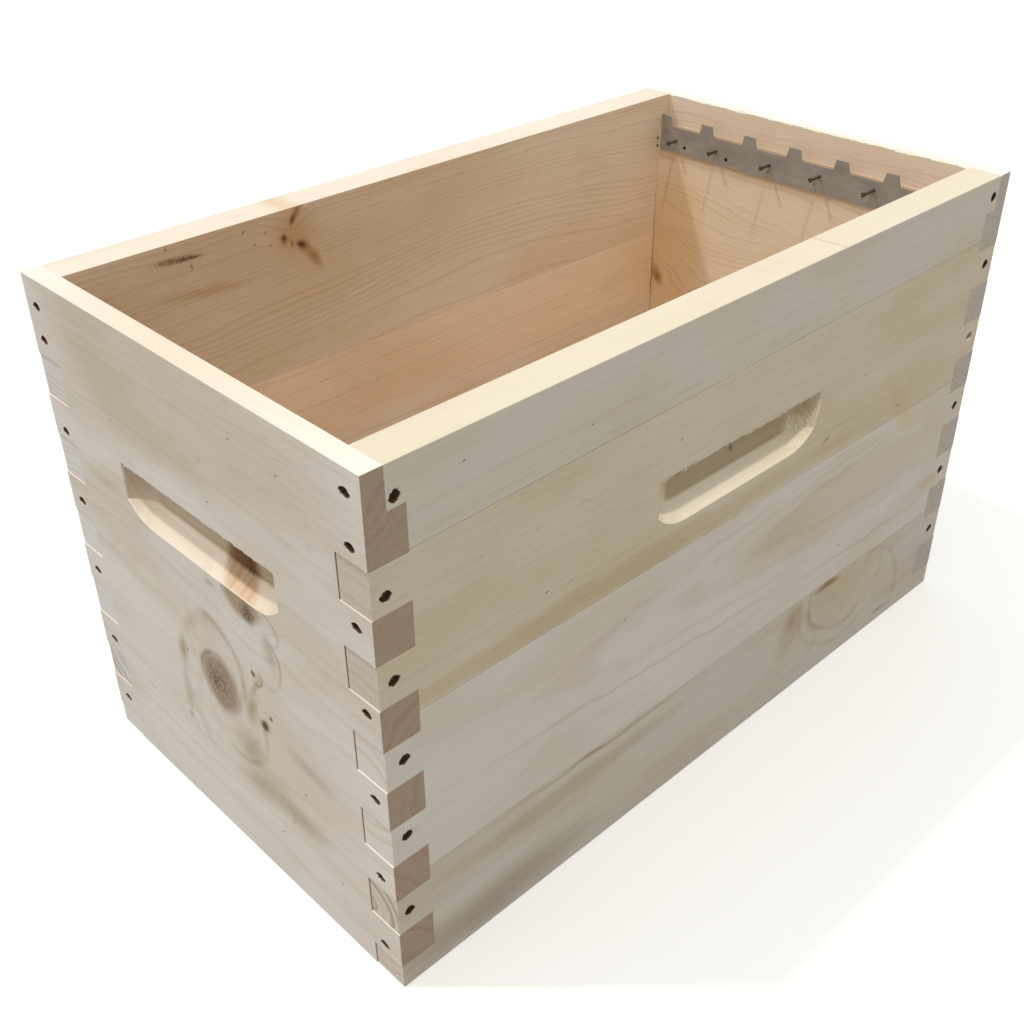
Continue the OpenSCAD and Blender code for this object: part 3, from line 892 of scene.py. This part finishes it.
def tear_rims(shape, side, along_grain, across_grain):
    """Pushes the rims of the nail holes outwards, by up to these millimetres. Gives their middles."""
    across = UP.cross(OUTWARD[side])
    rims = holes_in(shape, side)
    for rim, middle in rims:
        s, depth, inset = on_face(side, middle)
        wild = wild_tear if side == "right" and s < -nail_line and depth < 25.0 else 1.0
        for vert in rim:
            arm = vert.co - middle
            level = arm.dot(across) / arm.length
            rise = arm.z / arm.length
            ragged = noise.noise(vert.co * 1400.0)
            fine = noise.noise(vert.co * 3300.0)
            along = wild * level * abs(level) ** 1.5 * along_grain * (0.75 + 0.6 * ragged) + 0.4 * fine
            up = wild * rise * across_grain * (0.8 + 0.8 * ragged) + 0.35 * fine
            vert.co += across * max(-furthest_tear, along) * mm + UP * up * mm
    return [middle for rim, middle in rims]


# %% [markdown]
# An attribute named stain_and_shade marks the wood that is dark, and the pine finish reads it: the walls of
# the nail holes, from just below the surface and more the deeper they go, which is the stain of the steel
# and painted shade, and more faintly the rounded edges where two boards meet. One hole was driven cleanly
# and stays pale. The rim, the lower edge, the ends of the boards and the handholds meet no other board, so
# they stay light too.

# %% Darken the holes and joints
joint_dark = 0.38
inner_joint_dark = 0.2
hole_dark_from = 0.9
clean_hole_dark = 0.3
hole_reach = 5.4
hole_floor = 5.0
skin_depth = 0.05
edge_depth = 0.4
ceiling_drop = 84.5
scoop_half_width = 69.0
scoop_foot = 118.5


def board_reach(side):
    """How far a board reaches to either side of its middle, in millimetres."""
    return half_length if side in ("right", "left") else half_width


def is_joint(side, s, depth):
    """Whether a place lies away from the rim, the lower edge, the board's ends and the handhold."""
    if depth < 1.0 or depth > box_height - 1.0 or abs(s) > board_reach(side) - 1.5:
        return False
    return abs(s) > scoop_half_width + 1.0 or not ceiling_drop - 1.0 < depth < scoop_foot


def stain_and_shade_holes(shape, side, middles):
    """Marks the wood inside the nail holes, more the deeper it lies, as the steel's stain and painted shade,
    and the joints between boards.
    """
    spots = [on_face(side, middle) for middle in middles]

    def in_hole(point):
        s, depth, inset = on_face(side, point)
        near = any(math.hypot(s - a, depth - b) < hole_reach for a, b, c in spots)
        return near and skin_depth < inset < hole_floor

    ring = OUTWARD[side] * (BOARD_FACE[side] - hole_dark_from) * mm
    cut_faces(shape, [f for f in shape.faces if in_hole(f.calc_center_median())], ring, OUTWARD[side])
    shape.normal_update()
    layer = shape.verts.layers.float.new("stain_and_shade")
    for vert in shape.verts:
        s, depth, inset = on_face(side, vert.co)
        if in_hole(vert.co):
            is_clean = side == "right" and s > nail_line and 100.0 < depth < 116.0
            vert[layer] = (clean_hole_dark if is_clean else 1.0) * min(1.0, inset / hole_dark_from)
        elif is_joint(side, s, depth) and skin_depth < inset < edge_depth:
            # On the end boards the joint's dark is left off rounded edges that face up, where the light
            # falls, so the dark that stays is partly painted shade.
            lit = side in ("front", "back") and vert.normal.z > 0.3
            vert[layer] = 0.0 if lit else joint_dark
        elif is_joint(side, s, depth) and skin_depth < wall - inset < edge_depth:
            vert[layer] = inner_joint_dark


print("reach of a side and of an end from the middle, in mm:", board_reach("right"), board_reach("front"))

# %% [markdown]
# ## Torn edges of the handholds
#
# The cutter that scooped the handholds ran along the grain, so it left a clean back wall. Two places
# came out rough: the front edge of the ceiling, where loose fibres hang, and the last end that it cut,
# where it lifted the wood in wavy ridges. For the edge, its three lines are subdivided and moved up and
# down by noise. For the ridges, the end of the scoop is cut into a fine net by a row of bisecting
# planes, and the points of the net move along their normals.

# %% Fray the ceiling edge
fray_cuts = 160


def fray_ceiling(shape, side):
    """Makes the front edge of the handhold's ceiling uneven."""
    def edge_place(vert):
        s, depth, inset = on_face(side, vert.co)
        return abs(s) < scoop_half_width + 1.0 and abs(depth - ceiling_drop) < 0.5 and inset < 0.45

    long_edges = [e for e in shape.edges if e.calc_length() > 4 * mm and all(edge_place(v) for v in e.verts)]
    bmesh.ops.subdivide_edges(shape, edges=long_edges, cuts=fray_cuts, use_grid_fill=True)
    for vert in shape.verts:
        if edge_place(vert) and on_face(side, vert.co)[2] < 0.2:
            broad = noise.noise(vert.co * 420.0)
            fine = noise.noise(vert.co * 1500.0)
            vert.co.z += (0.45 * broad + 0.40 * fine) * mm


# %% Tear the end of a scoop
net = 0.45
ridge_spacing = 1.9
ridge_height = 0.4
ridge_valley_shade = 0.16
back_wall = 11.5
undercut = 4.0
undercut_from = 54.0


def soft_step(value, low, high):
    """0 up to low, 1 from high on, smooth between."""
    share = min(1.0, max(0.0, (value - low) / (high - low)))
    return share * share * (3.0 - 2.0 * share)


def tear_scoop_end(shape, side):
    """Lifts wavy ridges in the right-hand end of a handhold, as seen from outside, paints shade into their
    valleys and undercuts it.
    """
    across = UP.cross(OUTWARD[side])
    first, last = 44.5, scoop_half_width
    top, bottom = ceiling_drop + 0.4, 117.0

    def in_end(face):
        s, depth, inset = on_face(side, face.calc_center_median())
        in_scoop = first < s < last + 3.0 and top < depth < bottom and 0.35 < inset < back_wall
        return in_scoop and face.normal.z > -0.5

    cuts = [(across, across * (first + k * net) * mm) for k in range(int((last - first) / net) + 1)]
    cuts += [(UP, UP * (box_height - top - k * net) * mm) for k in range(int((bottom - top) / net) + 1)]
    for normal, place in cuts:
        cut_faces(shape, [f for f in shape.faces if in_end(f)], place, normal)
    shape.normal_update()
    moves = []
    for vert in shape.verts:
        if not vert.link_faces or not all(in_end(f) for f in vert.link_faces):
            continue
        s, depth, inset = on_face(side, vert.co)
        bend = noise.noise(Vector((s, depth, 0.0)) * 0.3) * 1.6
        bend += noise.noise(Vector((s, depth, 5.0)) * 0.8) * 0.8
        ridge = math.cos(2.0 * math.pi * (0.82 * s - 0.57 * depth + bend) / ridge_spacing)
        level = 0.55 + 0.6 * noise.noise(Vector((s, depth, 9.0)) * 0.5)
        fade = soft_step(s, 49.0, 56.0) * (1.0 - soft_step(depth, 107.0, 114.0)) * soft_step(inset, 0.3, 1.6)
        lift = vert.normal * (ridge_height * ridge * level * fade * mm)
        # The valleys between the ridges get painted shade.
        moves.append((vert, lift, ridge_valley_shade * fade * (0.5 - 0.5 * ridge)))
    layer = shape.verts.layers.float["stain_and_shade"]
    for vert, lift, dark in moves:
        vert.co += lift
        vert[layer] = dark
    for vert in shape.verts:
        s, depth, inset = on_face(side, vert.co)
        if undercut_from < s < last + 1.0 and top - 2.0 < depth < 112.0 and inset < back_wall:
            push = across * undercut * mm * soft_step(s, undercut_from, last)
            vert.co += push * (1.0 - soft_step(depth, 90.0, 108.0))
    return len(moves)


# %% [markdown]
# ## The chipped lip
#
# The back end's lip stands behind its strip, and frames that were set down there have chipped its inner
# edge. That edge is opened with a one-step bevel while the board is still plain. Later the two borders
# of the bevel are subdivided, and noise moves one up and down and the other in and out.

# %% Chip the lip
lip_inset = 12.0
chip_depth = 1.0
chip_cuts = 240
chip_limit = 0.7


def at_lip(side, vert, reach):
    """Whether a point lies on the inner edge of an end board's lip, within so many millimetres."""
    s, depth, inset = on_face(side, vert.co)
    return lip_inset - reach - 0.05 < inset < lip_inset + 0.05 and depth < reach + 0.05


def open_lip(shape, side):
    """Takes the inner edge off the lip, as the first step of chipping it."""
    edges = [e for e in shape.edges if all(at_lip(side, v, 0.0) for v in e.verts)]
    bmesh.ops.bevel(
        shape, geom=edges, offset=chip_depth * mm, offset_type="OFFSET", segments=1, profile=0.5,
        affect="EDGES", clamp_overlap=True, material=-1,
    )


def chip_lip(shape, side):
    """Makes both borders of the opened edge uneven."""
    long_edges = [
        e for e in shape.edges
        if e.calc_length() > 20 * mm and all(at_lip(side, v, chip_depth) for v in e.verts)
    ]
    bmesh.ops.subdivide_edges(shape, edges=long_edges, cuts=chip_cuts, use_grid_fill=True)
    for vert in shape.verts:
        if not at_lip(side, vert, chip_depth):
            continue
        s, depth, inset = on_face(side, vert.co)
        broad = noise.noise(Vector((s * 0.06, 0.0, 2.0)))
        fine = noise.noise(Vector((s * 0.35, depth, 4.0)))
        if depth > 0.5 * chip_depth:
            vert.co -= UP * mm * max(-chip_limit, 1.1 * broad + 0.7 * fine)
        else:
            vert.co += OUTWARD[side] * mm * max(-chip_limit, 0.4 + 0.8 * broad + 0.6 * fine)


# %% [markdown]
# ## Every board, step by step
#
# Now each board goes through these steps in turn. A cut close to either end keeps the dark of the joints
# off the end squares. A torn rim can reach past the old outline of the outer face, and that face would
# then fold over it, so the face is taken out and filled anew between its borders. The fill leaves its
# faces in an order that changes from run to run, so they are sorted. Wide and level faces are shaded
# flat, because a smooth normal would bend the light across a whole board.

# %% Steps of a board
board_ease = 0.3
end_square = 2.0
shortest_eased = 2.5
end_board_tear = (1.6, 0.35)
stave_tear = (1.3, 1.0)
scoop_depth = 12.0
flush_from, flush_to = 73.0, 87.0
wide_face = 0.0001
level_normal = 0.99999


def is_straight(edge, node_name, side):
    """Whether an edge is sharp, straight and level or upright, and lies in no handhold or flush joint."""
    if len(edge.link_faces) != 2 or edge.calc_face_angle() < math.radians(60):
        return False
    arm = edge.verts[1].co - edge.verts[0].co
    if arm.length < shortest_eased * mm or max(abs(part) for part in arm) < 0.995 * arm.length:
        return False
    places = [on_face(side, v.co) for v in edge.verts]
    in_scoop = all(
        abs(s) < scoop_half_width + 2.0 and ceiling_drop - 1.5 < depth < scoop_foot + 0.5
        and inset < scoop_depth for s, depth, inset in places
    )
    is_flush = all(flush_from < s < flush_to for s, depth, inset in places)
    return not in_scoop and not (is_flush and node_name.startswith("right_top"))


def refill_face(shape, side):
    """Fills a board's outer face anew, so that none folds over a torn rim, and sorts the faces."""
    out = OUTWARD[side]
    shape.normal_update()
    facing = [f for f in shape.faces if f.normal.dot(out) > 0.99]
    old = [f for f in facing if all(lies_flush(side, v, 0.01) for v in f.verts)]
    marked = set(old)
    outline = [e for e in shape.edges if sum(f in marked for f in e.link_faces) == 1]
    bmesh.ops.delete(shape, geom=old, context="FACES_KEEP_BOUNDARY")
    made = bmesh.ops.triangle_fill(shape, use_beauty=True, use_dissolve=False, edges=outline, normal=out)
    fresh = [part for part in made["geom"] if isinstance(part, bmesh.types.BMFace)]
    bmesh.ops.reverse_faces(shape, faces=[f for f in fresh if f.normal.dot(out) < 0.0])
    shape.verts.index_update()
    ordered = sorted(shape.faces, key=lambda f: sorted(v.index for v in f.verts))
    place_of = {face: place for place, face in enumerate(ordered)}
    shape.faces.sort(key=lambda f: place_of[f])


def eased_board(node_name):
    """The copy of a board with rounded straight edges, torn nail holes and rough handhold edges."""
    shape = merged_copy(node_name)
    side = FIGURES[node_name]["side"]
    is_end = node_name.endswith("end_board")
    is_chipped = node_name == "back_end_board"
    across = UP.cross(OUTWARD[side])
    for sign in (-1.0, 1.0):
        cut_faces(shape, list(shape.faces), across * sign * (board_reach(side) - end_square) * mm, across)
    if is_chipped:
        open_lip(shape, side)
    straight = [e for e in shape.edges if is_straight(e, node_name, side)]
    bmesh.ops.bevel(
        shape, geom=straight, offset=board_ease * mm, offset_type="OFFSET", segments=2, profile=0.5,
        affect="EDGES", clamp_overlap=False, material=-1,
    )
    middles = tear_rims(shape, side, *(end_board_tear if is_end else stave_tear))
    stain_and_shade_holes(shape, side, middles)
    fray_ceiling(shape, side)
    if is_chipped:
        chip_lip(shape, side)
    if node_name == "right_upper_stave":
        print("points moved in the torn end:", tear_scoop_end(shape, side))
    refill_face(shape, side)
    made = finish_piece(shape, node_name + "_eased", finishes[node_name], (node_name,))
    for polygon in made.data.polygons:
        if polygon.area > wide_face or max(abs(part) for part in polygon.normal) > level_normal:
            polygon.use_smooth = False
    return made


# %% Make the boards
for board_name in FIGURES:
    board = eased_board(board_name)
    print(board.name, len(board.data.polygons), "faces")

# %% [markdown]
# Loose fibres hang along the ceiling edges as thin pale slivers. Each is a small cone with its axis laid
# along the grain, half sunk in the edge, and all those of one handhold make one piece.

# %% Loose fibres
fibre_count = 40
lone_fibre = dict(at=(-68.6, 107.5), length=5.0, thick=0.4, lean=-38.0)


def fibre_finish():
    """Torn fibre with fine streaks: paler than the planed wood, as fresh wood is, and partly a painted
    highlight.
    """
    finish, tree, shader = new_finish("torn pine fibre")
    place = add(tree, "ShaderNodeTexCoord").outputs["Object"]
    streak = grain(tree, place, (800.0, 800.0, 800.0))
    tone = mix(tree, step(tree, streak, 0.3, 0.7), paint("fffaf0"), paint("fdf2e0"))
    fill(tree, shader, {"Base Color": tone, "Roughness": 0.8, "Specular IOR Level": 0.2})
    return finish


def sliver(shape, side, at, length, thick, lean):
    """One fibre, centred across and below the rim in millimetres, leaning down by some degrees."""
    out = OUTWARD[side]
    across = UP.cross(out)
    made = bmesh.ops.create_cone(
        shape, cap_ends=True, cap_tris=False, segments=5,
        radius1=thick * mm, radius2=0.2 * thick * mm, depth=length * mm,
    )
    axes = Matrix((across, UP, out)).transposed().to_4x4()
    laid = Matrix.Rotation(math.radians(-lean), 4, "Z") @ Matrix.Rotation(math.radians(90), 4, "Y")
    place = across * at[0] * mm + UP * (box_height - at[1]) * mm
    place += out * (BOARD_FACE[side] - 1.2 * thick) * mm
    bmesh.ops.transform(shape, matrix=Matrix.Translation(place) @ axes @ laid, verts=made["verts"])


def loose_fibres(side):
    """The fibres along the ceiling edge of one handhold."""
    chance = random.Random("fibres " + side)
    shape = bmesh.new()
    for k in range(fibre_count):
        at = (chance.uniform(-66.0, 66.0), ceiling_drop + chance.uniform(0.1, 0.8))
        sliver(shape, side, at, chance.uniform(2.0, 10.0), chance.uniform(0.25, 0.6), chance.gauss(0.0, 3.0))
    if side == "right":
        sliver(shape, side, **lone_fibre)
    return finish_piece(shape, side + "_handhold_fibres", torn_fibre)


torn_fibre = fibre_finish()
for side in ("right", "left", "front", "back"):
    fibres = loose_fibres(side)
    print(fibres.name, len(fibres.data.polygons), "faces")

# %% [markdown]
# ## Metal
#
# The frame rests are galvanised strip that has dulled to a grey-brown; the nails are bare steel, dark
# and slightly rusted. The nails stay as the CAD nodes with a finish of their own. A thin strip held by a
# few nails lies a little wavy: its lower edge lifts off the board between them and throws a thin shadow.
# So each strip is a copy, cut into short lengths by bisecting planes and bent by a slow wave.

# %% Zinc and steel
def zinc():
    """Dull galvanised sheet: cloudy grey with fine rolling lines along it."""
    finish, tree, shader = new_finish("dull zinc sheet")
    place = add(tree, "ShaderNodeTexCoord").outputs["Object"]
    cloud = grain(tree, place, (60.0, 60.0, 90.0), detail=4.0, rough=0.6)
    lines = grain(tree, place, (900.0, 12.0, 900.0), detail=3.0, rough=0.6)
    tone = mix(tree, step(tree, cloud, 0.3, 0.7), paint("aaa59e"), paint("9c968e"))
    tone = mix(tree, 1.0, tone, step(tree, lines, 0.3, 0.7, 0.92, 1.06), "MULTIPLY")
    bump = add(tree, "ShaderNodeBump", {"Strength": 0.15, "Distance": 0.0002, "Height": lines})
    fill(tree, shader, {
        "Base Color": tone,
        "Metallic": 0.35,
        "Roughness": step(tree, cloud, 0.3, 0.7, 0.48, 0.62),
        "Normal": bump.outputs[0],
    })
    return finish


def nail_steel(name, bright, dull):
    """Bare steel with a thin uneven film of rust."""
    finish, tree, shader = new_finish(name)
    place = add(tree, "ShaderNodeTexCoord").outputs["Object"]
    film = grain(tree, place, (700.0, 700.0, 700.0), detail=4.0, rough=0.6)
    fill(tree, shader, {
        "Base Color": mix(tree, step(tree, film, 0.35, 0.65), paint(bright), paint(dull)),
        "Metallic": 0.4,
        "Roughness": step(tree, film, 0.3, 0.7, 0.32, 0.6),
    })
    return finish


zinc_finish = zinc()
rest_nail_finish = nail_steel("rest nail steel", "6b5f55", "4a3b31")
corner_nail_finish = nail_steel("corner nail steel", "6b5b4c", "3d3128")
nail_names = [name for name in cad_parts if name.endswith("nails")]
for name in nail_names:
    is_rest = name.endswith("frame_rest_nails")
    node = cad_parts[name]
    node.data.materials.clear()
    node.data.materials.append(rest_nail_finish if is_rest else corner_nail_finish)
print("nail nodes:", len(nail_names))

# %% Wavy strips
strip_step = 5.0
strip_lengths = 47
strip_heights = (0.12, 0.25, 0.4)
strip_lift = 1.1
strip_sway = 0.30
strip_ease = 0.0001


def wavy_strip(end):
    """The copy of a frame rest whose lower edge lifts off the board in slow waves."""
    node_name = end + "_frame_rest"
    low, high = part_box(node_name)
    inwards = -OUTWARD[end]
    along = Vector((0.0, 1.0, 0.0))
    length = strip_step * mm
    shape = merged_copy(node_name)
    cuts = [(along, Vector((0.0, low[1] + k * length, 0.0))) for k in range(1, strip_lengths)]
    cuts += [(UP, UP * (low[2] + share * (high[2] - low[2]))) for share in strip_heights]
    for normal, place in cuts:
        cut_faces(shape, list(shape.faces), place, normal)
    for vert in shape.verts:
        hang = 1.0 - soft_step((vert.co.z - low[2]) / (high[2] - low[2]), 0.0, 0.45)
        lift = 0.5 + 0.5 * noise.noise(Vector((vert.co.y * 42.0, 3.0 * inwards.x, 0.0)))
        sway = noise.noise(Vector((vert.co.y * 60.0, 7.0, inwards.x)))
        vert.co += inwards * (strip_lift * mm * hang * lift) + UP * (strip_sway * mm * hang * sway)
    sharp = [e for e in shape.edges if len(e.link_faces) == 2 and e.calc_face_angle() > math.radians(50)]
    bmesh.ops.bevel(
        shape, geom=sharp, offset=strip_ease, offset_type="OFFSET", segments=1, profile=0.5,
        affect="EDGES", clamp_overlap=True, material=-1,
    )
    return finish_piece(shape, node_name + "_wavy", zinc_finish, (node_name,))


for end in ("front", "back"):
    strip = wavy_strip(end)
    print(strip.name, len(strip.data.polygons), "faces")
